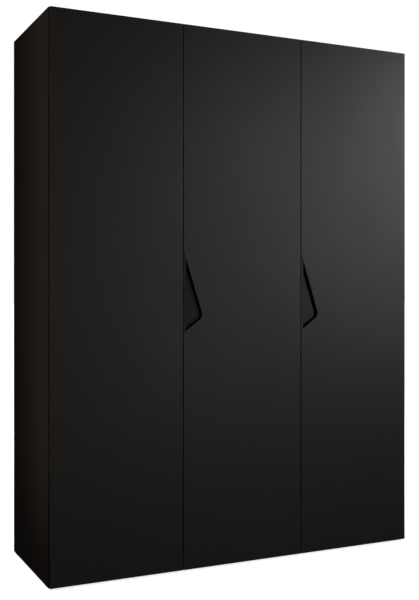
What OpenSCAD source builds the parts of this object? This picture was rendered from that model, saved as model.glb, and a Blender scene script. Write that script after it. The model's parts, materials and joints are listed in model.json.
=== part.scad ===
// Three-door wardrobe: flush full-overlay doors, two recessed edge pulls and a fitted inside.
// Millimetres. +X is right, +Y is the back, +Z is up. The origin is on the floor, under the middle
// of the box around the whole wardrobe. Modules draw from the left front corner; at_corner() moves
// them into that frame.

/* [Body] */
// Width over the side panels
body_w = 1500; // [1440:10:1560]
// Height of the side panels, without the floor glides
panel_h = 2000; // [1960:10:2060]
// Depth from the door fronts to the rear edges of the side panels
body_d = 510; // [470:10:560]
// Thickness of the side, top, bottom, middle and shelf boards
board_t = 18; // [18:0.5:19]
// Thickness of the back sheets
back_t = 3; // [2.5:0.5:4]
// Height of the plinth rails under the bottom panel
plinth_h = 60; // [50:5:80]
// Height of the floor glides
glide_h = 4; // [3:0.5:6]
// Radius of the eased board edges
edge_r = 1; // [0.5:0.25:1.25]

/* [Doors] */
// Thickness of a door
door_t = 18; // [18:0.5:19]
// Gap between two doors, and between the doors and the carcass
door_gap = 3; // [3:0.25:4]
// Height of side panel showing above and below a door
door_reveal = 3.7; // [3:0.1:6]

/* [Edge pull] */
// Height of the triangular cut-out in the free edge of a door
pull_h = 300; // [270:10:330]
// Distance of its corner from the free edge
pull_reach = 79; // [70:1:88]
// Height of that corner above the lower tip
pull_corner_z = 57; // [50:1:64]
// Radius of that corner
pull_r = 24; // [16:1:28]
// Height of the lower tip above the lower ends of the side panels
pull_z = 870; // [840:10:900]
// Depth of the pocket floor behind the door front
pull_depth = 27.5; // [25:0.5:30]
// Width of the grip lip along the free edge
lip_w = 10.5; // [9.5:0.5:13]
// Depth of the grip lip behind the door front
lip_recess = 2; // [1:0.5:3]

/* [Hinges] */
// Distance of the hinge pin from the hinged edge of a door
pin_x = 8; // [8:0.1:8.2]
// Depth of the hinge pin behind the door front
pin_y = 7; // [6.9:0.1:7]
// Radius of the cup bore in a door
cup_r = 17.5; // [17.5:0.25:18]
// Height of the lowest and highest hinge from the ends of the side panels
hinge_end = 110; // [105:5:120]
// Number of hinges on a door
hinge_count = 4; // [3:1:5]

/* [Inside] */
// Height of the hat shelf above the lower ends of the side panels
hat_shelf_z = 1700; // [1650:10:1750]
// Height of the hanging rail's middle below the hat shelf
rail_drop = 60; // [50:5:80]
// Height of the lowest adjustable shelf above the lower ends of the side panels
first_shelf_z = 420; // [400:10:440]
// Height from one adjustable shelf to the next
shelf_step = 384; // [320:32:384]

/* [Hidden] */
$fn = 48;

// How far a cutting shape runs past the face that it opens
past = 1;

// Carcass planes
back_inset = 1;
front_y = door_t + door_gap;
back_y = body_d - back_inset - back_t;
low_z = glide_h;
floor_z = low_z + plinth_h + board_t;
ceiling_z = low_z + panel_h - board_t;
inner_left = board_t;
inner_right = body_w - board_t;
module_w = body_w / 3;
partition_x = 2 * module_w - board_t / 2;
plinth_inset = 20;
rabbet_w = 10;
back_edge = 1.5;
nail_r = 0.75;
nail_hole_r = 0.8;
nail_head_r = 2.2;
nail_head_h = 0.7;
nail_x = 5;
nail_end_z = 60;
nail_end_x = 70;
side_nails = 10;
end_nails = 5;

// Doors, each as the place of its free or hinged edge
door_w = module_w - door_gap;
door_h = panel_h - 2 * door_reveal;
door_z = low_z + door_reveal;
left_hinge_edge = door_gap / 2;
middle_hinge_edge = 2 * module_w - door_gap / 2;
right_hinge_edge = 3 * module_w - door_gap / 2;

// Edge pull: the angles of its two slanting edges, and the middle of its round corner
lower_angle = atan2(pull_corner_z, pull_reach);
upper_angle = atan2(pull_h - pull_corner_z, pull_reach);
shell_t = 1.5;
shell_fit = 0.3;
shell_deep_x = 9.5;
web_t = 1.2;
fuse = 1;
flange_w = 9;
flange_t = 2;
pull_screw_r = 1.2;
pull_head_r = 2.8;
pull_pilot_r = 1.25;
pull_pilot_deep = 9;
pull_screw_l = 9.5;
pull_screw_low_x = 30;
pull_screw_high_x = 24;
corner_x = (pull_h - pull_r / cos(upper_angle) - pull_r / cos(lower_angle))
    / (tan(lower_angle) + tan(upper_angle));
corner_z = low_line(corner_x, pull_r);
corner_steps = 10;

// Hinges, in a frame with X from the hinged edge into the door
cup_x = cup_r + 3.5;
cup_bottom_y = 3.6;
cup_wall = 0.9;
cup_fit = 0.1;
cup_rim_w = 0.7;
cup_plate_t = 1.2;
cup_ear_r = 6;
cup_screw_x = cup_x + 5.5;
cup_screw_z = 22.5;
cheek_z = 5.5;
cheek_end_z = 8;
cheek_r = 3;
pin_r = 1.2;
barrel_r = 2.1;
arm_t = 2.4;
arm_w = 10;
arm_h = 6.5;
arm_wall = 1.2;
arm_neck_x = 25;
arm_shoulder_y = front_y + 1;
arm_foot_y = front_y + 12;
arm_bend_step = 2;
arm_channel_y = front_y + 16;
arm_end_y = 75;
arm_screw_y = 68;
arm_screw_r = 1.85;
arm_screw_l = 8;
plate_t = 2;
plate_y = front_y + 37;
plate_hole_z = 16;
plate_wing_r = 7;
plate_edge = 2;
euro_hole_r = 2.5;
euro_screw_l = 12;
plate_head_r = 4;
arm_head_r = 3.6;
machine_head_h = 1.6;
full_overlay_x = board_t - door_gap / 2;
half_overlay_x = board_t / 2 - door_gap / 2;
hinge_step = (panel_h - 2 * hinge_end) / (hinge_count - 1);

// Wood screws that hold the cups, the rail sockets and the wall brackets
wood_screw_r = 1.45;
wood_pilot_r = 1.5;
wood_clear_r = 1.6;
wood_pilot_deep = 11;
wood_screw_in = 10;
wood_head_r = 3.2;
wood_head_h = 1.4;
cross_deep = 0.6;
cross_w = 0.8;

// Joinery
cam_r = 7.5;
cam_deep = 12.5;
flush = 0.01;
cam_x = 34;
cam_slot_l = 8;
cam_slot_w = 1.2;
cam_slot_deep = 1.2;
bolt_r = 3;
bolt_in_side = 10;
bolt_in_cam = 4;
dowel_r = 4;
dowel_in_side = 11;
dowel_in_board = 19;
joint_fit = 0.05;
cam_end_y = 60;
dowel_end_y = 110;
cam_ys = [front_y + cam_end_y, back_y - cam_end_y];
dowel_ys = [front_y + dowel_end_y, back_y - dowel_end_y];

// Inside fittings
rail_z = low_z + hat_shelf_z - rail_drop;
rail_y = (front_y + back_y) / 2;
rail_h = 30;
rail_t = 15;
rail_wall = 1.2;
rail_play = 0.2;
socket_t = 2;
socket_l = 12;
socket_rim = 3;
socket_ear_r = 7;
socket_fit = 0.15;
socket_screw_z = rail_h / 2 + 8;
pin_end_y = 55;
pin_ys = [front_y + pin_end_y, back_y - pin_end_y];
pin_hole_pitch = 32;
pin_hole_deep = 9;
shelf_pin_r = 2.4;
shelf_pin_l = 8;
pin_head_r = 3.2;
shelf_count = 4;
shelf_play = 1;
shelf_inset = 20;
shelf_back_gap = 4;
bracket_size = 40;
bracket_w = 20;
bracket_t = 2;
bracket_hole_r = 3;
bracket_end_x = 120;
bracket_xs = [bracket_end_x, body_w - bracket_end_x];
bracket_hole_z = ceiling_z - 26;
bracket_screw_y = back_y - 27;
glide_r = 8;
glide_bevel = 0.8;
glide_nail_r = 1.2;
glide_nail_l = 12;
glide_end_y = 40;
bumper_t = door_gap - 0.3;
bumper_r = 4;
bumper_xs = [module_w - 22, module_w + 22, 2 * module_w + 26];

LAMINATE = [0.05, 0.047, 0.047];
HARDBOARD = [0.09, 0.085, 0.08];
STEEL = [0.62, 0.62, 0.63];
CHROME = [0.8, 0.8, 0.82];
PLASTIC = [0.03, 0.03, 0.03];
BEECH = [0.76, 0.6, 0.42];
CLEAR = [0.8, 0.8, 0.78];

// ---- shapes that repeat ----

// The wardrobe's left front corner on the floor
module at_corner() {
    translate([-body_w / 2, -body_d / 2, 0]) children();
}

// Outline of a board's section with its four edges eased
function eased_rect(w, t, steps = 3) = [
    for (corner = [[w - edge_r, t - edge_r, 0], [edge_r, t - edge_r, 90],
                   [edge_r, edge_r, 180], [w - edge_r, edge_r, 270]])
        for (i = [0 : steps])
            [corner[0] + edge_r * cos(corner[2] + 90 * i / steps),
             corner[1] + edge_r * sin(corner[2] + 90 * i / steps)]
];

// A board standing in the XZ plane, t thick along Y, with eased edges all round
module board(w, h, t) {
    intersection() {
        linear_extrude(h) polygon(eased_rect(w, t));
        rotate([90, 0, 90]) linear_extrude(w) polygon(eased_rect(t, h));
    }
}

// A board lying flat, t thick along Z
module flat_board(w, d, t) {
    translate([0, d, 0]) rotate([90, 0, 0]) board(w, d, t);
}

// A board standing in the YZ plane, t thick along X
module side_board(d, h, t) {
    translate([t, 0, 0]) rotate([0, 0, 90]) board(d, h, t);
}

// A 2D outline in X and Z, drawn out from y0 to y1
module slab(y0, y1) {
    translate([0, y1, 0]) rotate([90, 0, 0]) linear_extrude(y1 - y0) children();
}

module rod_x(x0, x1, r) {
    translate([x0, 0, 0]) rotate([0, 90, 0]) cylinder(h = x1 - x0, r = r);
}

module rod_y(y0, y1, r) {
    translate([0, y1, 0]) rotate([90, 0, 0]) cylinder(h = y1 - y0, r = r);
}

module rod_z(z0, z1, r) {
    translate([0, 0, z0]) cylinder(h = z1 - z0, r = r);
}

// Pan-head screw on the plane x = 0, with its head towards +X and a cross recess
module screw_x(shank_r, length, head_r, head_h) {
    cross_l = 1.2 * head_r;
    difference() {
        union() {
            rod_x(-length, head_h / 2, shank_r);
            rod_x(0, head_h, head_r);
        }
        for (a = [0, 90])
            rotate([a, 0, 0])
                translate([head_h - cross_deep, -cross_l / 2, -cross_w / 2])
                    cube([cross_deep + past, cross_l, cross_w]);
    }
}

// Wood screw through a piece that is thick, and into the board behind it
module wood_screw_x(thick) {
    screw_x(wood_screw_r, wood_screw_in + thick, wood_head_r, wood_head_h);
}

// ---- edge pull outline, in X from the free edge and Z from the lower tip ----

function low_line(x, inset) = x * tan(lower_angle) + inset / cos(lower_angle);
function high_line(x, inset) = pull_h - x * tan(upper_angle) - inset / cos(upper_angle);

// The cut-out made smaller by inset, from x = left to its round corner
function pull_outline(inset, left) = concat(
    [[left, low_line(left, inset)]],
    [for (i = [0 : corner_steps])
        let (a = lower_angle - 90 + (180 - lower_angle - upper_angle) * i / corner_steps)
            [corner_x + (pull_r - inset) * cos(a), corner_z + (pull_r - inset) * sin(a)]],
    [[left, high_line(left, inset)]]
);

// The strip of the cut-out between x = left and x = right
function pull_strip(inset, left, right) = [
    [left, low_line(left, inset)], [right, low_line(right, inset)],
    [right, high_line(right, inset)], [left, high_line(left, inset)]
];

// Places along the flange where the pull is screwed to the door
function pull_screw_places() = [
    [corner_x + pull_r + flange_w / 2, corner_z],
    [pull_screw_low_x, low_line(pull_screw_low_x, -flange_w / 2)],
    [pull_screw_high_x, high_line(pull_screw_high_x, -flange_w / 2)]
];

module at_pull_screws() {
    for (p = pull_screw_places())
        translate([p[0], 0, p[1]]) children();
}

// ---- places of the hinges ----

module at_hinges(edge_x, hinged_right) {
    for (i = [0 : hinge_count - 1])
        translate([edge_x, 0, low_z + hinge_end + i * hinge_step])
            mirror([hinged_right ? 1 : 0, 0, 0]) children();
}

module at_left_hinges() { at_hinges(left_hinge_edge, false) children(); }
module at_middle_hinges() { at_hinges(middle_hinge_edge, true) children(); }
module at_right_hinges() { at_hinges(right_hinge_edge, true) children(); }

// The two screws of each hinge plate, on a panel face that is face_x from the hinged edge
module at_plate_holes(face_x) {
    for (side = [-1, 1])
        translate([face_x, plate_y, side * plate_hole_z]) children();
}

// ---- doors and what is fixed to them ----

module cup_bores() {
    translate([cup_x, 0, 0]) rod_y(cup_bottom_y, door_t + past, cup_r);
    at_cup_screws() rod_y(door_t - wood_pilot_deep, door_t + past, wood_pilot_r);
}

module at_cup_screws() {
    for (side = [-1, 1])
        translate([cup_screw_x, 0, side * cup_screw_z]) children();
}

module plain_door(x) {
    translate([x, 0, door_z]) board(door_w, door_h, door_t);
}

// A door with the cut-out in its left edge
module notched_door(x) {
    difference() {
        plain_door(x);
        translate([x, 0, low_z + pull_z]) {
            slab(-past, door_t + past) polygon(pull_outline(0, -past));
            at_pull_screws() rod_y(door_t - pull_pilot_deep, door_t + past, pull_pilot_r);
        }
    }
}

// Two cheeks in the cup that carry the hinge pin, one on each side of the arm
module cup_cheeks() {
    intersection() {
        translate([cup_x, 0, 0]) rod_y(cup_bottom_y + cup_fit, pin_y + cheek_r, cup_r - cup_fit);
        for (z = [cheek_z, -cheek_end_z])
            translate([0, 0, z]) cube([pin_x + cheek_r, door_t, cheek_end_z - cheek_z]);
    }
}

// The pressed cup with its rim, and the ears that are screwed to the door
module cup_shell() {
    translate([cup_x, 0, 0]) {
        rod_y(cup_bottom_y + cup_fit, door_t + fuse / 2, cup_r - cup_fit);
        rod_y(door_t, door_t + cup_plate_t, cup_r + cup_rim_w);
    }
    translate([cup_screw_x - cup_ear_r, door_t, -cup_screw_z])
        cube([2 * cup_ear_r, cup_plate_t, 2 * cup_screw_z]);
    at_cup_screws() rod_y(door_t, door_t + cup_plate_t, cup_ear_r);
}

module hinge_cup() {
    difference() {
        union() {
            difference() {
                cup_shell();
                cup_hollow();
            }
            cup_cheeks();
        }
        translate([pin_x, pin_y, 0]) rod_z(-cheek_end_z, cheek_end_z, pin_r);
        at_cup_screws() rod_y(door_t - past, door_t + cup_plate_t + past, wood_clear_r);
    }
}

module cup_hollow() {
    translate([cup_x, 0, 0])
        rod_y(cup_bottom_y + cup_fit + cup_wall, door_t + cup_plate_t + past,
              cup_r - cup_fit - cup_wall);
}

module hinge_pin() {
    translate([pin_x, pin_y, 0]) rod_z(-cheek_end_z, cheek_end_z, pin_r);
}

module cup_screw_pair() {
    at_cup_screws()
        translate([0, door_t + cup_plate_t, 0]) rotate([0, 0, 90]) wood_screw_x(cup_plate_t);
}

// The arm bends round the pin, out of the cup's mouth and back onto its plate, face_x from the edge
module hinge_arm(face_x) {
    base_x = face_x + plate_t;
    top_x = base_x + arm_h;
    difference() {
        union() {
            translate([0, 0, -arm_w / 2]) linear_extrude(arm_w)
                polygon([
                    [pin_x, pin_y - arm_t / 2], [arm_neck_x, pin_y - arm_t / 2],
                    [arm_neck_x, arm_shoulder_y + arm_bend_step],
                    [top_x, arm_foot_y + arm_bend_step], [top_x, arm_end_y],
                    [base_x, arm_end_y], [base_x, arm_foot_y],
                    [arm_neck_x - arm_t, arm_shoulder_y], [arm_neck_x - arm_t, pin_y + arm_t / 2],
                    [pin_x, pin_y + arm_t / 2]
                ]);
            translate([pin_x, pin_y, 0]) rod_z(-arm_w / 2, arm_w / 2, barrel_r);
        }
        translate([pin_x, pin_y, 0]) rod_z(-arm_w, arm_w, pin_r + joint_fit);
        translate([base_x - past, arm_channel_y, -arm_w / 2 + arm_wall])
            cube([arm_h - arm_wall + past, arm_end_y - arm_channel_y + past, arm_w - 2 * arm_wall]);
        translate([0, arm_screw_y, 0]) rod_x(base_x, top_x + past, arm_screw_r + joint_fit);
    }
}

module hinge_plate(face_x) {
    difference() {
        translate([face_x, 0, 0]) {
            translate([0, arm_foot_y, -arm_w / 2 - plate_edge / 2])
                cube([plate_t, arm_end_y - arm_foot_y + plate_edge, arm_w + plate_edge]);
            translate([0, plate_y - plate_wing_r, -plate_hole_z])
                cube([plate_t, 2 * plate_wing_r, 2 * plate_hole_z]);
            for (side = [-1, 1])
                translate([0, plate_y, side * plate_hole_z]) rod_x(0, plate_t, plate_wing_r);
        }
        at_plate_holes(face_x) rod_x(-past, plate_t + past, euro_hole_r + 2 * joint_fit);
        translate([face_x, arm_screw_y, 0]) rod_x(-past, plate_t + past, arm_screw_r + joint_fit);
    }
}

// Recessed pull: a lip to grip, a finger hollow behind it and a deep pocket with a screwed flange.
// The strips' slanting ends step in from one strip to the next, so that no two lie in one plane.
module edge_pull(x) {
    web_x = shell_deep_x + web_t;
    translate([x, 0, low_z + pull_z]) difference() {
        union() {
            slab(lip_recess, lip_recess + flange_t)
                polygon(pull_strip(shell_fit, shell_fit, lip_w));
            slab(lip_recess, door_t)
                polygon(pull_strip(2 * shell_fit, shell_fit, shell_fit + shell_t));
            slab(door_t - shell_t, door_t) polygon(pull_strip(shell_fit, shell_fit, web_x));
            slab(door_t - fuse, door_t + fuse)
                polygon(pull_strip(3 * shell_fit, shell_deep_x + shell_fit, web_x));
            slab(door_t, door_t + flange_t) polygon(pull_outline(-flange_w, shell_deep_x));
            slab(door_t + fuse, pull_depth + shell_t) polygon(pull_outline(-shell_t, shell_deep_x));
        }
        slab(door_t - fuse / 2, pull_depth) polygon(pull_outline(0, shell_deep_x + shell_t));
        at_pull_screws() rod_y(door_t - past, door_t + flange_t + past, wood_clear_r);
    }
}

module pull_screws(x) {
    translate([x, 0, low_z + pull_z])
        at_pull_screws()
            translate([0, door_t + flange_t, 0]) rotate([0, 0, 90])
                screw_x(pull_screw_r, pull_screw_l, pull_head_r, wood_head_h);
}

module left_door() {
    color(LAMINATE) at_corner() difference() {
        plain_door(left_hinge_edge);
        at_left_hinges() cup_bores();
    }
}

module middle_door() {
    color(LAMINATE) at_corner() difference() {
        notched_door(middle_hinge_edge - door_w);
        at_middle_hinges() cup_bores();
    }
}

module right_door() {
    color(LAMINATE) at_corner() difference() {
        notched_door(right_hinge_edge - door_w);
        at_right_hinges() cup_bores();
    }
}

module left_hinge_cups() { color(STEEL) at_corner() at_left_hinges() hinge_cup(); }
module middle_hinge_cups() { color(STEEL) at_corner() at_middle_hinges() hinge_cup(); }
module right_hinge_cups() { color(STEEL) at_corner() at_right_hinges() hinge_cup(); }

module left_hinge_pins() { color(STEEL) at_corner() at_left_hinges() hinge_pin(); }
module middle_hinge_pins() { color(STEEL) at_corner() at_middle_hinges() hinge_pin(); }
module right_hinge_pins() { color(STEEL) at_corner() at_right_hinges() hinge_pin(); }

module left_cup_screws() { color(STEEL) at_corner() at_left_hinges() cup_screw_pair(); }
module middle_cup_screws() { color(STEEL) at_corner() at_middle_hinges() cup_screw_pair(); }
module right_cup_screws() { color(STEEL) at_corner() at_right_hinges() cup_screw_pair(); }

module middle_edge_pull() {
    color(PLASTIC) at_corner() edge_pull(middle_hinge_edge - door_w);
}

module right_edge_pull() {
    color(PLASTIC) at_corner() edge_pull(right_hinge_edge - door_w);
}

module middle_pull_screws() {
    color(STEEL) at_corner() pull_screws(middle_hinge_edge - door_w);
}

module right_pull_screws() {
    color(STEEL) at_corner() pull_screws(right_hinge_edge - door_w);
}

// ---- hinge parts that stay on the carcass ----

module left_hinge_arms() {
    color(STEEL) at_corner() at_left_hinges() hinge_arm(full_overlay_x);
}

module middle_hinge_arms() {
    color(STEEL) at_corner() at_middle_hinges() hinge_arm(half_overlay_x);
}

module right_hinge_arms() {
    color(STEEL) at_corner() at_right_hinges() hinge_arm(full_overlay_x);
}

module left_hinge_plates() {
    color(STEEL) at_corner() at_left_hinges() hinge_plate(full_overlay_x);
}

module middle_hinge_plates() {
    color(STEEL) at_corner() at_middle_hinges() hinge_plate(half_overlay_x);
}

module right_hinge_plates() {
    color(STEEL) at_corner() at_right_hinges() hinge_plate(full_overlay_x);
}

module plate_screw_pair(face_x) {
    at_plate_holes(face_x + plate_t)
        screw_x(euro_hole_r - joint_fit, euro_screw_l, plate_head_r, machine_head_h);
}

module arm_screw(face_x) {
    translate([face_x + plate_t + arm_h, arm_screw_y, 0])
        screw_x(arm_screw_r, arm_screw_l, arm_head_r, machine_head_h);
}

module hinge_plate_screws() {
    color(STEEL) at_corner() {
        at_left_hinges() plate_screw_pair(full_overlay_x);
        at_middle_hinges() plate_screw_pair(half_overlay_x);
        at_right_hinges() plate_screw_pair(full_overlay_x);
    }
}

module hinge_arm_screws() {
    color(STEEL) at_corner() {
        at_left_hinges() arm_screw(full_overlay_x);
        at_middle_hinges() arm_screw(half_overlay_x);
        at_right_hinges() arm_screw(full_overlay_x);
    }
}

// ---- joinery ----

// Both ends of the top and of the bottom panel, with X from the side panel's inner face inwards
module at_board_ends() {
    for (z = [ceiling_z, low_z + plinth_h]) {
        translate([inner_left, 0, z]) children();
        translate([inner_right, 0, z]) mirror([1, 0, 0]) children();
    }
}

module cam_bolt(r) {
    for (y = cam_ys)
        translate([0, y, board_t / 2]) rod_x(-bolt_in_side, cam_x - bolt_in_cam, r);
}

module end_dowels(r) {
    for (y = dowel_ys)
        translate([0, y, board_t / 2]) rod_x(-dowel_in_side, dowel_in_board, r);
}

module cam_lock(r) {
    for (y = cam_ys)
        translate([cam_x, y, 0]) rod_z(-flush, cam_deep, r);
}

// Dowels that stand in both ends of the partition
module partition_dowels(r) {
    for (z = [floor_z, ceiling_z])
        for (y = dowel_ys)
            translate([2 * module_w, y, z]) rod_z(-dowel_in_side, dowel_in_side, r);
}

module board_end_cuts() {
    at_board_ends() {
        cam_bolt(bolt_r + joint_fit);
        cam_lock(cam_r + joint_fit);
        end_dowels(dowel_r + joint_fit);
    }
    partition_dowels(dowel_r + joint_fit);
}

module cam_locks() {
    color(STEEL) at_corner() at_board_ends() difference() {
        cam_lock(cam_r);
        cam_bolt(bolt_r + joint_fit);
        for (y = cam_ys)
            translate([cam_x - cam_slot_l / 2, y - cam_slot_w / 2, -past])
                cube([cam_slot_l, cam_slot_w, cam_slot_deep + past]);
    }
}

module cam_bolts() {
    color(STEEL) at_corner() at_board_ends() cam_bolt(bolt_r);
}

module wooden_dowels() {
    color(BEECH) at_corner() {
        at_board_ends() end_dowels(dowel_r);
        partition_dowels(dowel_r);
    }
}

// ---- shelf pins ----

function shelf_z(i) = low_z + first_shelf_z + i * shelf_step;

// Holes at a shelf's height and one pitch above and below it, drilled from x along side
module pin_hole_group(x, side, z) {
    for (y = pin_ys)
        for (step = [-1 : 1])
            translate([x, y, z - pin_head_r + step * pin_hole_pitch])
                rod_x(side > 0 ? -past : -pin_hole_deep, side > 0 ? pin_hole_deep : past, euro_hole_r);
}

// Draws towards +X on a panel face at x, or mirrored where the face looks towards -X
module on_face(x, side) {
    translate([x, 0, 0]) mirror([side < 0 ? 1 : 0, 0, 0]) children();
}

module pin_pair(face_x, side, z) {
    on_face(face_x, side)
        for (y = pin_ys)
            translate([0, y, z - pin_head_r]) {
                rod_x(-shelf_pin_l, fuse, shelf_pin_r);
                rod_x(0, shelf_pin_l, pin_head_r);
            }
}

module shelf_pins() {
    color(CHROME) at_corner() {
        for (i = [0 : shelf_count - 1]) {
            pin_pair(partition_x + board_t, 1, shelf_z(i));
            pin_pair(inner_right, -1, shelf_z(i));
        }
        pin_pair(inner_left, 1, low_z + hat_shelf_z);
        pin_pair(partition_x, -1, low_z + hat_shelf_z);
    }
}

// ---- carcass ----

module glide_places() {
    for (x = [board_t / 2, body_w - board_t / 2])
        for (y = [front_y + glide_end_y, back_y - glide_end_y])
            translate([x, y, 0]) children();
    for (x = [module_w, 2 * module_w])
        for (y = [front_y + plinth_inset + board_t / 2, back_y - plinth_inset - board_t / 2])
            translate([x, y, 0]) children();
}

module floor_glides() {
    top_bevel = glide_bevel / 4;
    color(PLASTIC) at_corner() glide_places() {
        rotate_extrude()
            polygon([[0, 0], [glide_r - glide_bevel, 0], [glide_r, glide_bevel],
                     [glide_r, glide_h - top_bevel], [glide_r - top_bevel, glide_h], [0, glide_h]]);
        rod_z(glide_h / 2, glide_h + glide_nail_l, glide_nail_r);
    }
}

module glide_holes() {
    glide_places()
        rod_z(glide_h - past, glide_h + glide_nail_l + joint_fit, glide_nail_r + joint_fit);
}

module at_socket_screws(face_x, side) {
    on_face(face_x, side)
        for (up = [-1, 1])
            translate([0, rail_y, rail_z + up * socket_screw_z]) children();
}

module socket_pilots(face_x, side) {
    at_socket_screws(face_x, side) rod_x(-wood_pilot_deep, past, wood_pilot_r);
}

// The holes for the hinge plates' screws
module plate_pilots(face_x) {
    at_plate_holes(face_x) rod_x(-euro_screw_l, past, euro_hole_r);
}

// A side panel as the left one: a rabbet for the back sheet and the holes for its fittings
module outer_panel() {
    difference() {
        translate([0, front_y, low_z]) side_board(body_d - front_y, panel_h, board_t);
        translate([board_t - rabbet_w, back_y, low_z - past])
            cube([rabbet_w + past, body_d - back_y + past, panel_h + 2 * past]);
        at_board_ends() {
            cam_bolt(bolt_r + joint_fit);
            end_dowels(dowel_r + joint_fit);
        }
        glide_holes();
        at_left_hinges() plate_pilots(full_overlay_x);
    }
}

module left_side_panel() {
    color(LAMINATE) at_corner() difference() {
        outer_panel();
        pin_hole_group(inner_left, -1, low_z + hat_shelf_z);
        socket_pilots(inner_left, 1);
    }
}

module right_side_panel() {
    color(LAMINATE) at_corner() difference() {
        translate([body_w, 0, 0]) mirror([1, 0, 0]) outer_panel();
        for (i = [0 : shelf_count - 1])
            pin_hole_group(inner_right, 1, shelf_z(i));
    }
}

module partition_panel() {
    color(LAMINATE) at_corner() difference() {
        translate([partition_x, front_y, floor_z])
            side_board(back_y - front_y, ceiling_z - floor_z, board_t);
        partition_dowels(dowel_r + joint_fit);
        at_middle_hinges() plate_pilots(half_overlay_x);
        for (i = [0 : shelf_count - 1])
            pin_hole_group(partition_x + board_t, -1, shelf_z(i));
        pin_hole_group(partition_x, 1, low_z + hat_shelf_z);
        socket_pilots(partition_x, -1);
    }
}

module top_panel() {
    color(LAMINATE) at_corner() difference() {
        translate([inner_left, front_y, ceiling_z])
            flat_board(inner_right - inner_left, back_y - front_y, board_t);
        board_end_cuts();
        at_bracket_screws() rod_z(-past, wood_pilot_deep, wood_pilot_r);
    }
}

module bottom_panel() {
    color(LAMINATE) at_corner() difference() {
        translate([inner_left, front_y, low_z + plinth_h])
            flat_board(inner_right - inner_left, back_y - front_y, board_t);
        board_end_cuts();
    }
}

module plinth_rail(y) {
    difference() {
        translate([inner_left, y, low_z]) board(inner_right - inner_left, plinth_h, board_t);
        glide_holes();
    }
}

module front_plinth_rail() {
    color(LAMINATE) at_corner() plinth_rail(front_y + plinth_inset);
}

module rear_plinth_rail() {
    color(LAMINATE) at_corner() plinth_rail(back_y - plinth_inset - board_t);
}

module back_sheet(x0, x1) {
    difference() {
        translate([x0, back_y, low_z + back_edge])
            cube([x1 - x0, back_t, panel_h - 2 * back_edge]);
        at_wall_holes() rod_y(-past, back_t + past, bracket_hole_r);
        at_nails() rod_y(-past, back_t + past, nail_hole_r);
    }
}

module back_panel_wide() {
    color(HARDBOARD) at_corner()
        back_sheet(board_t - rabbet_w + back_edge, 2 * module_w - back_edge / 2);
}

module back_panel_narrow() {
    color(HARDBOARD) at_corner()
        back_sheet(2 * module_w + back_edge / 2, body_w - board_t + rabbet_w - back_edge);
}

// Nail places along the side panels, the partition, the top and the bottom
module at_nails() {
    tall = ceiling_z - floor_z - 2 * nail_end_z;
    wide = body_w - 2 * nail_end_x;
    for (x = [board_t - nail_x, 2 * module_w - nail_x, 2 * module_w + nail_x,
              body_w - board_t + nail_x])
        for (i = [0 : side_nails - 1])
            translate([x, back_y, floor_z + nail_end_z + i * tall / (side_nails - 1)]) children();
    for (z = [floor_z - board_t / 2, ceiling_z + board_t / 2])
        for (i = [0 : end_nails - 1])
            translate([nail_end_x + i * wide / (end_nails - 1), back_y, z]) children();
}

module back_panel_nails() {
    color(STEEL) at_corner() at_nails() {
        rod_y(0, back_t + nail_head_h / 2, nail_r);
        rod_y(back_t, back_t + nail_head_h, nail_head_r);
    }
}

// ---- wall brackets ----

module at_wall_holes() {
    for (x = bracket_xs)
        translate([x, back_y, bracket_hole_z]) children();
}

module at_bracket_screws() {
    for (x = bracket_xs)
        translate([x, bracket_screw_y, ceiling_z]) children();
}

module wall_brackets() {
    color(STEEL) at_corner() difference() {
        for (x = bracket_xs)
            translate([x - bracket_w / 2, back_y - bracket_size, ceiling_z - bracket_size])
                difference() {
                    cube([bracket_w, bracket_size, bracket_size]);
                    translate([-past, -bracket_t, -bracket_t])
                        cube([bracket_w + 2 * past, bracket_size, bracket_size]);
                }
        at_wall_holes() rod_y(-bracket_t - past, past, bracket_hole_r);
        at_bracket_screws() rod_z(-bracket_t - past, past, wood_clear_r);
    }
}

module wall_bracket_screws() {
    color(STEEL) at_corner() at_bracket_screws()
        translate([0, 0, -bracket_t]) rotate([0, 90, 0]) wood_screw_x(bracket_t);
}

// ---- inside fittings ----

// A loose shelf between two panel faces
module loose_shelf(x0, x1, z) {
    translate([x0 + shelf_play, front_y + shelf_inset, z])
        flat_board(x1 - x0 - 2 * shelf_play, back_y - front_y - shelf_inset - shelf_back_gap, board_t);
}

module hat_shelf() {
    color(LAMINATE) at_corner() loose_shelf(inner_left, partition_x, low_z + hat_shelf_z);
}

module narrow_shelf(i) {
    color(LAMINATE) at_corner() loose_shelf(partition_x + board_t, inner_right, shelf_z(i));
}

module shelf_1() { narrow_shelf(0); }
module shelf_2() { narrow_shelf(1); }
module shelf_3() { narrow_shelf(2); }
module shelf_4() { narrow_shelf(3); }

// Outline of the oval rail, grown by extra all round, in Y and Z
module rail_outline(extra) {
    straight = rail_h - rail_t;
    square([rail_t + 2 * extra, straight], center = true);
    for (side = [-1, 1])
        translate([0, side * straight / 2]) circle(r = rail_t / 2 + extra);
}

module rail_prism(x0, x1, extra) {
    translate([x0, rail_y, rail_z])
        rotate([90, 0, 90]) linear_extrude(x1 - x0) rail_outline(extra);
}

module hanging_rail() {
    end_gap = socket_t + rail_play;
    color(CHROME) at_corner() difference() {
        rail_prism(inner_left + end_gap, partition_x - end_gap, 0);
        rail_prism(inner_left, partition_x, -rail_wall);
    }
}

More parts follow.
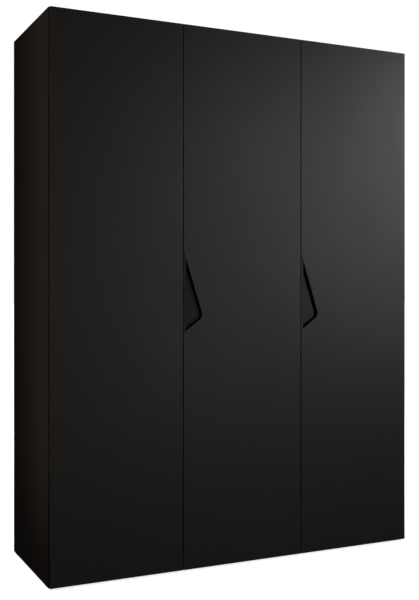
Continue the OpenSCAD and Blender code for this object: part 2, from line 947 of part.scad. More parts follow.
// Socket on a panel face: a flange with two screws and a collar round the rail
module rail_socket(face_x, side) {
    difference() {
        on_face(face_x, side) {
            rail_prism(0, socket_l, socket_rim);
            translate([0, rail_y - socket_ear_r, rail_z - socket_screw_z])
                cube([socket_t, 2 * socket_ear_r, 2 * socket_screw_z]);
            for (up = [-1, 1])
                translate([0, rail_y, rail_z + up * socket_screw_z]) rod_x(0, socket_t, socket_ear_r);
        }
        on_face(face_x, side) rail_prism(socket_t, socket_l + past, socket_fit);
        at_socket_screws(face_x, side) rod_x(-past, socket_t + past, wood_clear_r);
    }
}

module rail_sockets() {
    color(CHROME) at_corner() {
        rail_socket(inner_left, 1);
        rail_socket(partition_x, -1);
    }
}

module rail_socket_screws() {
    color(STEEL) at_corner()
        for (end = [[inner_left, 1], [partition_x, -1]])
            at_socket_screws(end[0], end[1])
                translate([socket_t, 0, 0]) wood_screw_x(socket_t);
}

// Soft stops on the front edges of the top and bottom panels, behind each door's free edge
module door_bumpers() {
    color(CLEAR) at_corner()
        for (x = bumper_xs)
            for (z = [floor_z - board_t / 2, ceiling_z + board_t / 2])
                translate([x, front_y, z]) rod_y(-bumper_t, 0, bumper_r);
}

// ---- draw ----

left_side_panel();
right_side_panel();
partition_panel();
top_panel();
bottom_panel();
front_plinth_rail();
rear_plinth_rail();
back_panel_wide();
back_panel_narrow();
back_panel_nails();
cam_locks();
cam_bolts();
wooden_dowels();
floor_glides();
door_bumpers();
wall_brackets();
wall_bracket_screws();
hat_shelf();
hanging_rail();
rail_sockets();
rail_socket_screws();
shelf_1();
shelf_2();
shelf_3();
shelf_4();
shelf_pins();
left_door();
left_hinge_cups();
left_hinge_pins();
left_cup_screws();
left_hinge_arms();
left_hinge_plates();
middle_door();
middle_hinge_cups();
middle_hinge_pins();
middle_cup_screws();
middle_hinge_arms();
middle_hinge_plates();
middle_edge_pull();
middle_pull_screws();
right_door();
right_hinge_cups();
right_hinge_pins();
right_cup_screws();
right_hinge_arms();
right_hinge_plates();
right_edge_pull();
right_pull_screws();
hinge_plate_screws();
hinge_arm_screws();
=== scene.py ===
"""Black three-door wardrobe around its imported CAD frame: laminate, hinge steel, chrome and mouldings."""
import json
import math

import bpy
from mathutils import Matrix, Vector


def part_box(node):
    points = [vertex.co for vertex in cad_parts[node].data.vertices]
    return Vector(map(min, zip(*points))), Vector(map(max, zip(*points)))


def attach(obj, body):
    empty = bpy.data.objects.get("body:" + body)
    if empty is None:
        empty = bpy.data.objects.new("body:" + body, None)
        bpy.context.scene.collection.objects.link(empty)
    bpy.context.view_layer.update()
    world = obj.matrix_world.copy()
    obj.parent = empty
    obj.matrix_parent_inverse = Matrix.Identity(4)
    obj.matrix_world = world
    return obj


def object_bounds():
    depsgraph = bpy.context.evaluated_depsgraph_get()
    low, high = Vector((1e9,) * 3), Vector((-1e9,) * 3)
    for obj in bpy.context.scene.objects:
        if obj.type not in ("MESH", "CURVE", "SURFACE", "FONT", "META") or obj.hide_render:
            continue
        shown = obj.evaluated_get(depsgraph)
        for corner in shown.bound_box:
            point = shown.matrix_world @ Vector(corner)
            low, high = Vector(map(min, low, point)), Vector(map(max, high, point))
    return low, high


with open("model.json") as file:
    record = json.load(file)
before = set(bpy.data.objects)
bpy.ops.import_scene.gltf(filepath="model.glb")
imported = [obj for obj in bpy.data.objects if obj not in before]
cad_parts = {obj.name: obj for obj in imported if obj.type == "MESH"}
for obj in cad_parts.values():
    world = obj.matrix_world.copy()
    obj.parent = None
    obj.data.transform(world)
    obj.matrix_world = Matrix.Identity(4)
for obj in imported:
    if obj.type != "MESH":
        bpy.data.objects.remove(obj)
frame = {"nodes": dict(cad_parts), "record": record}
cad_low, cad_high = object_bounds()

NODES = frame["nodes"]
MM = 0.001


# ---- node tree helpers ----

# The range that holds most of a noise texture's values
NOISE_RANGE = (0.3, 0.7)
# The places of a Mix node's colour sockets, which share their names with its other kinds of value
MIX_FIRST, MIX_SECOND, MIX_RESULT = 6, 7, 2
# A face looks along an axis where its normal reaches this far along it
LOOKS_ALONG = 0.5


class Shader:
    """One material's node tree, with short calls for the nodes that repeat."""

    def __init__(self, name):
        self.material = bpy.data.materials.new(name)
        self.material.use_nodes = True
        self.tree = self.material.node_tree
        self.bsdf = self.tree.nodes["Principled BSDF"]
        coordinates = self.tree.nodes.new("ShaderNodeTexCoord")
        self.place = coordinates.outputs["Object"]

    def put(self, socket, value):
        """A constant or another node's output into a socket."""
        if isinstance(value, bpy.types.NodeSocket):
            self.tree.links.new(value, socket)
        else:
            socket.default_value = value

    def math(self, operation, *values):
        made = self.tree.nodes.new("ShaderNodeMath")
        made.operation = operation
        for socket, value in zip(made.inputs, values):
            self.put(socket, value)
        return made.outputs[0]

    def vector_math(self, operation, *values):
        made = self.tree.nodes.new("ShaderNodeVectorMath")
        made.operation = operation
        for socket, value in zip(made.inputs, values):
            self.put(socket, value)
        return made.outputs[0]

    def split(self, vector):
        made = self.tree.nodes.new("ShaderNodeSeparateXYZ")
        self.put(made.inputs[0], vector)
        return made.outputs["X"], made.outputs["Y"], made.outputs["Z"]

    def stretched(self, scale):
        """The place in the object with each axis scaled."""
        return self.vector_math("MULTIPLY", self.place, Vector(scale))

    def noise(self, per_metre, detail, roughness=0.5, place=None):
        made = self.tree.nodes.new("ShaderNodeTexNoise")
        self.put(made.inputs["Vector"], place or self.place)
        made.inputs["Scale"].default_value = per_metre
        made.inputs["Detail"].default_value = detail
        made.inputs["Roughness"].default_value = roughness
        return made.outputs["Fac"]

    def cells(self, per_metre):
        made = self.tree.nodes.new("ShaderNodeTexVoronoi")
        self.put(made.inputs["Vector"], self.place)
        made.inputs["Scale"].default_value = per_metre
        return made.outputs["Distance"]

    def span(self, value, source=NOISE_RANGE, target=(0.0, 1.0), smooth=False):
        """A value carried from the source range to the target range, and kept inside it."""
        made = self.tree.nodes.new("ShaderNodeMapRange")
        made.interpolation_type = "SMOOTHSTEP" if smooth else "LINEAR"
        for socket, number in zip(made.inputs, (value, *source, *target)):
            self.put(socket, number)
        return made.outputs[0]

    def mix(self, share, first, second):
        """The first tone or value where share is 0, and the second where it is 1."""
        made = self.tree.nodes.new("ShaderNodeMix")
        made.data_type = "RGBA"
        self.put(made.inputs["Factor"], share)
        for place, value in ((MIX_FIRST, first), (MIX_SECOND, second)):
            self.put(made.inputs[place], (*value, 1.0) if isinstance(value, tuple) else value)
        return made.outputs[MIX_RESULT]

    def bump(self, height, distance, strength, over=None):
        """A normal that follows a height, laid over another normal if one is given."""
        made = self.tree.nodes.new("ShaderNodeBump")
        made.inputs["Distance"].default_value = distance
        made.inputs["Strength"].default_value = strength
        self.put(made.inputs["Height"], height)
        if over is not None:
            self.put(made.inputs["Normal"], over)
        return made.outputs[0]

    def normal_axes(self):
        """The surface normal in the object's own axes, as three numbers."""
        turn = self.tree.nodes.new("ShaderNodeVectorTransform")
        turn.vector_type = "NORMAL"
        turn.convert_from = "WORLD"
        turn.convert_to = "OBJECT"
        geometry = self.tree.nodes.new("ShaderNodeNewGeometry")
        self.put(turn.inputs[0], geometry.outputs["Normal"])
        return self.split(turn.outputs[0])

    def depths(self, low, high):
        """How far a point is along x, y and z from the nearer side of a box, in metres."""
        from_low = self.vector_math("ABSOLUTE", self.vector_math("SUBTRACT", self.place, low))
        from_high = self.vector_math("ABSOLUTE", self.vector_math("SUBTRACT", self.place, high))
        return self.split(self.vector_math("MINIMUM", from_low, from_high))

    def edge_distance(self, low, high):
        """How far a point on a board's face is from the nearest edge of that face, in metres.
        It is the middle one of the three depths, because the least is the depth of the face itself."""
        a, b, c = self.depths(low, high)
        lesser = self.math("MINIMUM", a, b)
        greater = self.math("MAXIMUM", a, b)
        return self.math("MAXIMUM", lesser, self.math("MINIMUM", greater, c))

    def finish(self, colour, roughness, normal=None, **constants):
        """The finished material, from its colour, roughness and normal, and other inputs by name."""
        self.put(self.bsdf.inputs["Base Color"], colour)
        self.put(self.bsdf.inputs["Roughness"], roughness)
        if normal is not None:
            self.put(self.bsdf.inputs["Normal"], normal)
        for name, value in constants.items():
            self.bsdf.inputs[name.replace("_", " ")].default_value = value
        return self.material


# ---- materials ----

# Tones are linear colours, and noise blends the two of a pair
DOOR_TONES = ((0.0145, 0.0136, 0.0118), (0.0170, 0.0159, 0.0139))
BOARD_TONES = ((0.0120, 0.0102, 0.0088), (0.0140, 0.0120, 0.0104))
BAND_TONES = ((0.0026, 0.0024, 0.0022), (0.0040, 0.0037, 0.0034))
LINEN_TONES = ((0.050, 0.048, 0.047), (0.115, 0.112, 0.108))
FIBRE_TONES = ((0.163, 0.097, 0.050), (0.182, 0.111, 0.059))
FIBRE_STRAND = (0.085, 0.045, 0.022)
FIBRE_FLECK = (0.27, 0.18, 0.10)
PULL_TONE = (0.0070, 0.0067, 0.0066)
# Near black: painted shade for the walls of the pull recesses and the doors' cut-outs
RECESS_SHADE_BLACK = (0.0020, 0.0019, 0.0017)
GLIDE_TONE = (0.012, 0.012, 0.012)
RUBBER_TONES = ((0.42, 0.42, 0.40), (0.55, 0.55, 0.53))
NICKEL_TONES = ((0.62, 0.60, 0.57), (0.50, 0.48, 0.45))
ZINC_TONES = ((0.60, 0.61, 0.63), (0.48, 0.49, 0.51))
CHROME_TONES = ((0.78, 0.79, 0.81), (0.70, 0.71, 0.73))
BEECH_TONES = ((0.56, 0.38, 0.22), (0.40, 0.24, 0.12))

# How bright a laminate's painted glints, worn spots and glue line are, and a door's edges with their painted
# shade, beside its faces
PAINTED_GLINT_SHARE = 2.2
WORN_SHARE = 3.0
GLUE_SHARE = 0.3
DOOR_EDGE_SHADE_SHARE = 0.75
# How much rougher than laminate the linen print, the edge bands and the cut-out walls with painted shade are
LINEN_ROUGHER = 0.14
BAND_ROUGHER = 0.25
CUT_OUT_WALL_ROUGHER = 0.4
# The line of glue between a board's face and its edge band
GLUE_LINE_IN = 0.95 * MM
GLUE_LINE_HALF_WIDTH = 0.09 * MM
# How far wear reaches in from an edge
WEAR_REACH = 0.9 * MM
# Edge faces of a door that lie further inside its outline than this are walls of its cut-out or bores
CUT_OUT_IN = 3.0 * MM
# The linen print: how fine its threads are, and their width as a share of their length
THREADS_PER_METRE = 900.0
THREAD_WIDTH_SHARE = 0.035
# Which way the outside face of each outer board looks along its thickness; its other face looks inside
OUTWARD = {
    "left_door": -1.0,
    "middle_door": -1.0,
    "right_door": -1.0,
    "left_side_panel": -1.0,
    "right_side_panel": 1.0,
    "top_panel": 1.0,
    "bottom_panel": -1.0,
}
# Boards under the wardrobe, with neither linen print nor a band
PLAIN_BOARDS = ("front_plinth_rail", "rear_plinth_rail")


def shaded(tone, share):
    """A tone made darker or lighter."""
    return tuple(share * part for part in tone)


def thin_axis(node):
    """The axis that runs through a board's thickness: 0, 1 or 2."""
    low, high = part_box(node)
    size = [high[axis] - low[axis] for axis in range(3)]
    return size.index(min(size))


def linen(shader, node):
    """Graphite linen print: two crossing sets of uneven threads on a board's faces, as a 0 to 1 value."""
    threads = []
    for along in range(3):
        if along == thin_axis(node):
            continue
        stretch = [1.0, 1.0, 1.0]
        stretch[along] = THREAD_WIDTH_SHARE
        threads.append(shader.noise(THREADS_PER_METRE, 3.0, 0.6, shader.stretched(stretch)))
    return shader.math("MAXIMUM", *threads)


def inner_share(shader, node):
    """1 on the broad faces of a board that look into the wardrobe, 0 on its edges and its outside."""
    facing = shader.normal_axes()[thin_axis(node)]
    if node not in OUTWARD:
        return shader.math("GREATER_THAN", shader.math("ABSOLUTE", facing), LOOKS_ALONG)
    return shader.math("LESS_THAN", shader.math("MULTIPLY", facing, OUTWARD[node]), -LOOKS_ALONG)


def laminate(node, tones, lined=False, banded=False, cut_out=False):
    """Matt black laminate with a pearl grain and painted glints on it, a fine glue line along its edges, and
    worn edges.
    A lined board shows graphite linen print on the faces that look into the wardrobe.
    A banded board has a dull black plastic band on its front edge.
    A board that may have a cut-out has its edge faces slightly darkened as painted shade for the seams, and
    the walls in its cut-out and bores coloured near black as painted shade for the recess."""
    shader = Shader("laminate_" + node)
    tone, light_tone = tones
    low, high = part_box(node)
    edge = shader.edge_distance(low, high)
    pearl = shader.noise(per_metre=1800.0, detail=3.0, roughness=0.6)
    cloud = shader.noise(per_metre=2.2, detail=3.0, roughness=0.55)
    smear = shader.noise(per_metre=9.0, detail=4.0, roughness=0.6, place=shader.stretched((1.0, 1.0, 0.35)))
    colour = shader.mix(shader.span(cloud), tone, light_tone)
    # Painted glints: lighter specks in the colour that stand in for the sparkle of light off the pearl grain
    painted_glints = shader.span(pearl, source=(0.35, 0.75), target=(0.0, 0.22))
    colour = shader.mix(painted_glints, colour, shaded(light_tone, PAINTED_GLINT_SHARE))
    glue = shader.math("COMPARE", edge, GLUE_LINE_IN, GLUE_LINE_HALF_WIDTH)
    colour = shader.mix(shader.math("MULTIPLY", glue, 0.7), colour, shaded(tone, GLUE_SHARE))
    near_edge = shader.span(edge, source=(0.0, WEAR_REACH), target=(1.0, 0.0), smooth=True)
    patches = shader.span(shader.noise(per_metre=60.0, detail=3.0), source=(0.4, 0.7), target=(0.10, 0.45))
    worn = shader.math("MULTIPLY", near_edge, patches)
    colour = shader.mix(worn, colour, shaded(light_tone, WORN_SHARE))
    roughness = shader.math("ADD", shader.span(smear, target=(0.415, 0.455)),
                            shader.span(pearl, target=(-0.02, 0.02)))
    # Painted shade: a door's edge faces are made slightly darker so the seams between the doors look deeper
    # in shade, and the walls of its cut-out and bores are near black for the shade in the recess
    if cut_out:
        across, _, up = shader.depths(low, high)
        within = shader.math("GREATER_THAN", shader.math("MINIMUM", across, up), CUT_OUT_IN)
        sideways = shader.math("LESS_THAN", shader.math("ABSOLUTE", shader.normal_axes()[1]), LOOKS_ALONG)
        edge_shade_tone = shader.mix(within, shaded(tone, DOOR_EDGE_SHADE_SHARE), RECESS_SHADE_BLACK)
        colour = shader.mix(sideways, colour, edge_shade_tone)
        painted = shader.math("MULTIPLY", within, sideways)
        roughness = shader.math("ADD", roughness, shader.math("MULTIPLY", painted, CUT_OUT_WALL_ROUGHER))
    height = pearl
    if lined:
        inner = inner_share(shader, node)
        weave = linen(shader, node)
        print_tone = shader.mix(shader.span(weave, source=(0.45, 0.75)), *LINEN_TONES)
        print_tone = shader.mix(shader.span(cloud, target=(0.0, 0.25)), print_tone, LINEN_TONES[0])
        colour = shader.mix(inner, colour, print_tone)
        roughness = shader.math("ADD", roughness, shader.math("MULTIPLY", inner, LINEN_ROUGHER))
        height = shader.math("ADD", pearl, shader.math("MULTIPLY", inner, weave))
    if banded:
        front = shader.math("LESS_THAN", shader.normal_axes()[1], -LOOKS_ALONG)
        colour = shader.mix(front, colour, shader.mix(shader.span(smear), *BAND_TONES))
        roughness = shader.math("ADD", roughness, shader.math("MULTIPLY", front, BAND_ROUGHER))
    grain = shader.bump(height, distance=0.03 * MM, strength=0.35)
    normal = shader.bump(glue, distance=-0.04 * MM, strength=0.6, over=grain)
    return shader.finish(colour, roughness, normal)


def hardboard(node):
    """Back sheets: graphite linen print inside, and raw brown fibre with pale flecks behind."""
    shader = Shader("hardboard_" + node)
    fibre = shader.noise(per_metre=420.0, detail=5.0, roughness=0.7, place=shader.stretched((1.0, 1.0, 0.5)))
    fleck = shader.cells(per_metre=900.0)
    cloud = shader.noise(per_metre=3.0, detail=3.0)
    raw = shader.mix(shader.span(cloud), *FIBRE_TONES)
    raw = shader.mix(shader.span(fibre, source=(0.45, 0.7), target=(0.0, 0.7)), raw, FIBRE_STRAND)
    raw = shader.mix(shader.span(fleck, source=(0.0, 0.25), target=(0.5, 0.0)), raw, FIBRE_FLECK)
    weave = linen(shader, node)
    print_tone = shader.mix(shader.span(weave, source=(0.45, 0.75)), *LINEN_TONES)
    behind = shader.span(shader.normal_axes()[1], source=(0.2, 0.6))
    colour = shader.mix(behind, print_tone, raw)
    roughness = shader.span(behind, source=(0.0, 1.0), target=(0.55, 0.82))
    height = shader.mix(behind, weave, fibre)
    return shader.finish(colour, roughness, shader.bump(height, distance=0.06 * MM, strength=0.5))


def glide_moulding(name):
    """The floor glides: dark nylon with a fine spark-eroded texture."""
    shader = Shader(name)
    spark = shader.cells(per_metre=1500.0)
    cloud = shader.noise(per_metre=14.0, detail=3.0)
    colour = shader.mix(shader.span(cloud), GLIDE_TONE, shaded(GLIDE_TONE, 1.35))
    roughness = shader.span(spark, source=(0.1, 0.6), target=(0.4, 0.55))
    return shader.finish(colour, roughness, shader.bump(spark, distance=0.03 * MM, strength=0.4))


def pull_moulding(name):
    """The recessed pulls: satin black front and back faces, and coarse walls round the pocket, coloured near
    black as painted shade for the recess.
    """
    shader = Shader(name)
    spark = shader.cells(per_metre=1500.0)
    cloud = shader.noise(per_metre=14.0, detail=3.0)
    forward = shader.math("ABSOLUTE", shader.normal_axes()[1])
    front = shader.span(forward, source=(0.4, 0.8), smooth=True)
    satin_tone = shader.mix(shader.span(cloud), PULL_TONE, shaded(PULL_TONE, 1.25))
    # Painted shade: the walls round the pocket are coloured near black for the shade inside the recess
    colour = shader.mix(front, RECESS_SHADE_BLACK, satin_tone)
    satin = shader.span(spark, source=(0.1, 0.6), target=(0.38, 0.46))
    coarser = shader.span(front, source=(0.0, 1.0), target=(0.45, 0.0))
    roughness = shader.math("ADD", satin, coarser)
    normal = shader.bump(spark, distance=0.03 * MM, strength=0.4)
    return shader.finish(colour, roughness, normal, Specular_IOR_Level=0.4)


def rubber(name):
    """Soft clear grey bumpers with a cloudy body."""
    shader = Shader(name)
    cloud = shader.noise(per_metre=700.0, detail=3.0)
    colour = shader.mix(shader.span(cloud), *RUBBER_TONES)
    roughness = shader.span(cloud, target=(0.34, 0.5))
    return shader.finish(colour, roughness, shader.bump(cloud, distance=0.02 * MM, strength=0.3))


def plated_steel(name, tones, stretch, roughness_range):
    """Plated pressed steel: rolled grain, dulled patches and fine scratches."""
    shader = Shader(name)
    grain = shader.noise(per_metre=60.0, detail=4.0, roughness=0.65, place=shader.stretched(stretch))
    cloud = shader.noise(per_metre=90.0, detail=4.0, roughness=0.6)
    crosswise = shader.stretched(tuple(reversed(stretch)))
    scratch = shader.span(shader.noise(per_metre=30.0, detail=6.0, roughness=0.8, place=crosswise),
                          source=(0.58, 0.66))
    colour = shader.mix(shader.span(cloud, source=(0.35, 0.7)), *tones)
    roughness = shader.math("ADD", shader.span(cloud, target=roughness_range),
                            shader.math("MULTIPLY", scratch, 0.1))
    normal = shader.bump(grain, distance=0.02 * MM, strength=0.5)
    return shader.finish(colour, roughness, normal, Metallic=1.0)


def chrome(name):
    """Bright chrome with faint polishing lines and finger haze."""
    shader = Shader(name)
    along_rail = shader.stretched((1.0, 30.0, 30.0))
    lines = shader.noise(per_metre=40.0, detail=3.0, roughness=0.6, place=along_rail)
    haze = shader.noise(per_metre=7.0, detail=4.0, roughness=0.6)
    colour = shader.mix(shader.span(haze, source=(0.35, 0.7)), *CHROME_TONES)
    roughness = shader.span(haze, source=(0.35, 0.7), target=(0.12, 0.2))
    normal = shader.bump(lines, distance=0.01 * MM, strength=0.25)
    return shader.finish(colour, roughness, normal, Metallic=1.0)


def beech(name):
    """Turned beech dowels with darker flecks along the grain."""
    shader = Shader(name)
    grain = shader.noise(per_metre=90.0, detail=5.0, roughness=0.65, place=shader.stretched((0.1, 1.0, 1.0)))
    colour = shader.mix(shader.span(grain, source=(0.35, 0.7)), *BEECH_TONES)
    roughness = shader.span(grain, target=(0.55, 0.7))
    return shader.finish(colour, roughness, shader.bump(grain, distance=0.1 * MM, strength=0.5))


def dress(node, material):
    """Gives a CAD node its material in every slot."""
    mesh = NODES[node].data
    if not mesh.materials:
        mesh.materials.append(material)
    for index in range(len(mesh.materials)):
        mesh.materials[index] = material


def dress_everything():
    """Gives every CAD node its material, and returns the ones that several nodes share."""
    shared = {
        "pull_plastic": pull_moulding("pull_moulding"),
        "glide_plastic": glide_moulding("glide_nylon"),
        "bumper_rubber": rubber("bumper_rubber"),
        "nickel_steel": plated_steel("nickel_steel", NICKEL_TONES, (1.0, 1.0, 14.0), (0.22, 0.36)),
        "zinc_steel": plated_steel("zinc_steel", ZINC_TONES, (14.0, 1.0, 1.0), (0.28, 0.42)),
        "chrome": chrome("chrome"),
        "beech": beech("beech"),
    }
    for row in frame["record"]["subparts"]:
        node, slot = row["node"], row["material_slot"]
        if slot == "door_laminate":
            dress(node, laminate(node, DOOR_TONES, lined=True, cut_out=True))
        elif slot == "board_laminate":
            inside = node not in PLAIN_BOARDS
            dress(node, laminate(node, BOARD_TONES, lined=inside, banded=inside))
        elif slot == "hardboard":
            dress(node, hardboard(node))
        else:
            dress(node, shared[slot])
    return shared


# ---- rounded edges on the small hard parts ----

EASED = {
    "left_hinge_arms": 0.25 * MM,
    "middle_hinge_arms": 0.25 * MM,
    "right_hinge_arms": 0.25 * MM,
    "left_hinge_plates": 0.2 * MM,
    "middle_hinge_plates": 0.2 * MM,
    "right_hinge_plates": 0.2 * MM,
    "wall_brackets": 0.25 * MM,
    "rail_sockets": 0.2 * MM,
    "floor_glides": 0.4 * MM,
}
EASED_SEGMENTS = 2
EASED_ABOVE_DEGREES = 40


def ease(node, width):
    """Rounds a CAD node's sharp edges with a bevel, leaving its mesh as it is."""
    bevel = NODES[node].modifiers.new("eased", "BEVEL")
    bevel.width = width
    bevel.segments = EASED_SEGMENTS
    bevel.limit_method = "ANGLE"
    bevel.angle_limit = math.radians(EASED_ABOVE_DEGREES)


# ---- adjusting screws on the hinge arms ----

HEAD_SIDES = 48
HEAD_R = 3.0 * MM
HEAD_CHAMFER = 0.3 * MM
HEAD_H = 0.8 * MM
HEAD_SUNK = 0.3 * MM
CROSS_REACH = 1.9 * MM
CROSS_HALF_WIDTH = 0.42 * MM
CROSS_DEEP = 0.6 * MM
CROSS_TAPER = 0.8
HINGES_PER_DOOR = 4
ARM_HALF_WIDTH = 5.0 * MM
ADJUSTER_FROM_ARM_END = 27.0 * MM
# Each door's arms: the way their top faces look along x, and how far the neck stands past that face
HINGE_ARMS = {
    "left_hinge_arms": (1.0, 0.0),
    "middle_hinge_arms": (-1.0, 9.0 * MM),
    "right_hinge_arms": (-1.0, 0.0),
}


def cross_radius(angle):
    """The outline of a cross recess as a distance from its middle."""
    across, along = sorted((abs(math.cos(angle)), abs(math.sin(angle))))
    to_end = CROSS_REACH / along
    meets_side = across * to_end > CROSS_HALF_WIDTH
    return CROSS_HALF_WIDTH / across if meets_side else to_end


def cross_head(vertices, faces, middle, facing):
    """Adds one screw head with a chamfered rim and a tapered cross recess, looking along x."""
    floor_h = HEAD_H - CROSS_DEEP
    rings = (
        (-HEAD_SUNK, lambda angle: HEAD_R),
        (HEAD_H - HEAD_CHAMFER, lambda angle: HEAD_R),
        (HEAD_H, lambda angle: HEAD_R - HEAD_CHAMFER),
        (HEAD_H, cross_radius),
        (floor_h, lambda angle: CROSS_TAPER * cross_radius(angle)),
    )
    first = len(vertices)
    for height, radius in rings:
        for side in range(HEAD_SIDES):
            angle = 2 * math.pi * side / HEAD_SIDES
            reach = radius(angle)
            vertices.append(middle + Vector((facing * height, reach * math.cos(angle) * facing,
                                             reach * math.sin(angle))))
    for ring in range(len(rings) - 1):
        for side in range(HEAD_SIDES):
            a = first + ring * HEAD_SIDES + side
            b = first + ring * HEAD_SIDES + (side + 1) % HEAD_SIDES
            faces.append((a, b, b + HEAD_SIDES, a + HEAD_SIDES))
    last = first + (len(rings) - 1) * HEAD_SIDES
    # Fans close the head's foot and the floor of its recess, and wind opposite ways
    for ring_start, height, winding in ((first, -HEAD_SUNK, -1), (last, floor_h, 1)):
        hub = len(vertices)
        vertices.append(middle + Vector((facing * height, 0.0, 0.0)))
        for side in range(HEAD_SIDES):
            pair = (ring_start + side, ring_start + (side + 1) % HEAD_SIDES)
            faces.append((hub, *pair[::winding]))


def add_hinge_adjusters(material):
    """The cross-headed screw on each hinge arm that shifts its door sideways."""
    vertices, faces = [], []
    for node, (facing, neck) in HINGE_ARMS.items():
        low, high = (Vector(corner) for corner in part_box(node))
        top_x = (high.x if facing > 0 else low.x) - facing * neck
        first_z, last_z = low.z + ARM_HALF_WIDTH, high.z - ARM_HALF_WIDTH
        for hinge in range(HINGES_PER_DOOR):
            z = first_z + (last_z - first_z) * hinge / (HINGES_PER_DOOR - 1)
            cross_head(vertices, faces, Vector((top_x, high.y - ADJUSTER_FROM_ARM_END, z)), facing)
    mesh = bpy.data.meshes.new("hinge_adjusters")
    mesh.from_pydata(vertices, [], faces)
    mesh.materials.append(material)
    adjusters = bpy.data.objects.new("hinge_adjusters", mesh)
    bpy.context.scene.collection.objects.link(adjusters)
    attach(adjusters, "carcass")


# ---- studio ----

# Half the side of the floor
FLOOR_REACH = 60.0
FLOOR_GLOW = 0.82
WHITE = (1.0, 1.0, 1.0)


def add_floor():
    """A white studio floor that glows a little, so only a faint shadow shows where the wardrobe stands."""
    corners = [(x * FLOOR_REACH, y * FLOOR_REACH, 0.0) for x, y in ((-1, -1), (1, -1), (1, 1), (-1, 1))]
    mesh = bpy.data.meshes.new("studio_floor")
    mesh.from_pydata(corners, [], [(0, 1, 2, 3)])
    floor = bpy.data.objects.new("studio_floor", mesh)
    bpy.context.scene.collection.objects.link(floor)
    shader = Shader("studio_floor")
    cloud = shader.noise(per_metre=1.5, detail=2.0)
    white = shader.span(cloud, target=(0.56, 0.58))
    mesh.materials.append(shader.finish(white, 0.9, Emission_Color=(*WHITE, 1.0),
                                        Emission_Strength=FLOOR_GLOW))
    floor.visible_glossy = False
    floor.visible_diffuse = False
    return floor


def add_world(seen, light):
    """White behind the object, and a dim even light from all round."""
    world = bpy.data.worlds.new("studio")
    bpy.context.scene.world = world
    world.use_nodes = True
    tree = world.node_tree
    background = tree.nodes["Background"]
    background.inputs["Color"].default_value = (*WHITE, 1.0)
    path = tree.nodes.new("ShaderNodeLightPath")
    level = tree.nodes.new("ShaderNodeMapRange")
    tree.links.new(path.outputs["Is Camera Ray"], level.inputs["Value"])
    level.inputs["To Min"].default_value = light
    level.inputs["To Max"].default_value = seen
    tree.links.new(level.outputs[0], background.inputs["Strength"])


def linked(name, state, pieces):
    """A collection that names the pieces a lamp's light or shadow is kept to, or kept off."""
    made = bpy.data.collections.new(name)
    for piece in pieces:
        made.objects.link(piece)
    for member in made.collection_objects:
        member.light_linking.link_state = state
    return made


def only_on(lamp, *pieces):
    """Keeps a lamp's light to some pieces, as a barn door does."""
    lamp.light_linking.receiver_collection = linked(lamp.name + "_lights", "INCLUDE", pieces)


def kept_off(lamp, *pieces):
    """Keeps a lamp's light off some pieces, as a flag does."""
    lamp.light_linking.receiver_collection = linked(lamp.name + "_leaves", "EXCLUDE", pieces)


def shadowless(lamp):
    """Lets no CAD node cast a shadow from this lamp."""
    lamp.light_linking.blocker_collection = linked(lamp.name + "_passes", "EXCLUDE", NODES.values())


def add_lamp(name, kind, power):
    """A lamp of one of Blender's kinds, and its data."""
    data = bpy.data.lights.new(name, kind)
    data.energy = power
    lamp = bpy.data.objects.new(name, data)
    bpy.context.scene.collection.objects.link(lamp)
    return lamp, data


def softbox(name, place, target, size, power, colour=WHITE):
    """A rectangular lamp that faces the target, and isn't seen by the camera."""
    lamp, data = add_lamp(name, "AREA", power)
    data.shape = "RECTANGLE"
    data.size, data.size_y = size
    data.color = colour
    lamp.location = place
    lamp.rotation_euler = (Vector(target) - lamp.location).to_track_quat("-Z", "Y").to_euler()
    lamp.visible_camera = False
    return lamp


def softbox_round(name, azimuth, elevation, distance, side, power, colour):
    """A square softbox aimed at the middle of the doors.
    Azimuth is in degrees to the right of straight in front, and elevation in degrees up."""
    middle = Vector((0.0, cad_low[1], 0.5 * cad_high[2]))
    turn, rise = math.radians(azimuth), math.radians(elevation)
    way = Vector((math.sin(turn) * math.cos(rise), -math.cos(turn) * math.cos(rise), math.sin(rise)))
    return softbox(name, middle + distance * way, middle, (side, side), power, colour)


def overhead_sun(floor, strength, spread):
    """A soft sun, spread degrees wide, that lights only the floor."""
    lamp, data = add_lamp("overhead_sun", "SUN", strength)
    data.angle = math.radians(spread)
    only_on(lamp, floor)


KEY_COLOUR = (1.0, 0.945, 0.975)
FILL_COLOUR = (1.0, 0.97, 0.93)
STRIP_COLOUR = (1.0, 0.88, 0.80)
PULL_COLOUR = (1.0, 0.97, 0.94)
KEY_DISTANCE = 3.0
# The key bank: each lamp's azimuth and elevation in degrees, its side in metres and its power in watts
KEY_BANK = {
    "key": (60, 21, 1.0, 16.5),
    "key_low": (47, 3, 0.9, 5.0),
    "key_inner": (30, 18, 1.0, 4.5),
}


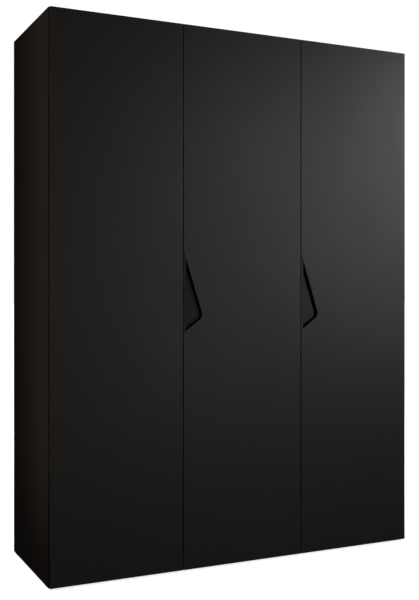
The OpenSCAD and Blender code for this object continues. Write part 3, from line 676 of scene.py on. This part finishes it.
def add_lights(floor):
    """The studio's lamps. Some of them light only some of the pieces."""
    pulls = (NODES["middle_edge_pull"], NODES["right_edge_pull"])
    doors = (NODES["left_door"], NODES["middle_door"], NODES["right_door"])
    overhead_sun(floor, strength=3.0, spread=80)
    # A bank of softboxes in front and to the right makes the sheen on the doors
    for name, (azimuth, elevation, side, power) in KEY_BANK.items():
        kept_off(softbox_round(name, azimuth, elevation, KEY_DISTANCE, side, power, KEY_COLOUR), *pulls)
    softbox_round("front", azimuth=22, elevation=-6, distance=5.5, side=1.4, power=8.7, colour=KEY_COLOUR)
    # The fill adds no sheen of its own
    fill = softbox_round("fill", azimuth=-40, elevation=-3, distance=4.5, side=1.4, power=56,
                         colour=FILL_COLOUR)
    fill.visible_glossy = False
    # A thin tube beside the left panel, level with its front edge, so that the panel darkens backwards
    strip = softbox("side_strip", place=(-1.07, -0.225, 1.7), target=(-0.75, -0.16, 1.7),
                    size=(0.04, 2.9), power=5.8, colour=STRIP_COLOUR)
    strip.visible_glossy = False
    only_on(strip, NODES["left_side_panel"], NODES["left_door"])
    # The pulls have an even light of their own, which reaches the floor of each pocket
    pull_light = softbox_round("pull_light", azimuth=45, elevation=5, distance=3.0, side=1.0, power=9.4,
                               colour=PULL_COLOUR)
    only_on(pull_light, *pulls)
    shadowless(pull_light)
    # A lamp in front that reaches the inside when the doors are open
    reached = [piece for piece in NODES.values() if piece not in (*pulls, *doors)]
    inside = softbox("inside", place=(0.15, -3.6, 1.3), target=(0.0, 0.0, 1.1), size=(1.0, 1.8), power=110)
    only_on(inside, *reached)
    # Lamps for the faces that the front lamps don't reach
    softbox("top", place=(0.0, 0.7, 3.8), target=(0.0, 0.5, 0.0), size=(1.3, 1.6), power=60)
    right_fill = softbox("right_fill", place=(3.6, 0.6, 1.4), target=(0.75, 0.0, 1.0), size=(1.2, 1.8),
                         power=90)
    only_on(right_fill, NODES["right_side_panel"])
    rear = softbox("rear", place=(1.5, 4.2, 2.6), target=(0.0, 0.25, 1.0), size=(3.0, 2.5), power=150)
    rear.visible_glossy = False


CAMERA_PLACE = (-1.6114, -3.2595, 1.0315)
CAMERA_TURNED_RIGHT = 24.73


def add_camera():
    """A level camera at half the wardrobe's height, to the left of it and turned to the right."""
    data = bpy.data.cameras.new("camera")
    data.lens = 54.295
    data.sensor_width = 36.0
    data.shift_x = 0.0342
    data.shift_y = -0.0175
    data.clip_end = 200.0
    camera = bpy.data.objects.new("camera", data)
    bpy.context.scene.collection.objects.link(camera)
    camera.location = CAMERA_PLACE
    camera.rotation_euler = (math.radians(90), 0, -math.radians(CAMERA_TURNED_RIGHT))
    bpy.context.scene.camera = camera


shared_materials = dress_everything()
for eased_node, eased_width in EASED.items():
    ease(eased_node, eased_width)
add_hinge_adjusters(shared_materials["zinc_steel"])
add_world(seen=1.05, light=0.006)
add_lights(add_floor())
add_camera()
bpy.context.scene.view_settings.view_transform = "Standard"
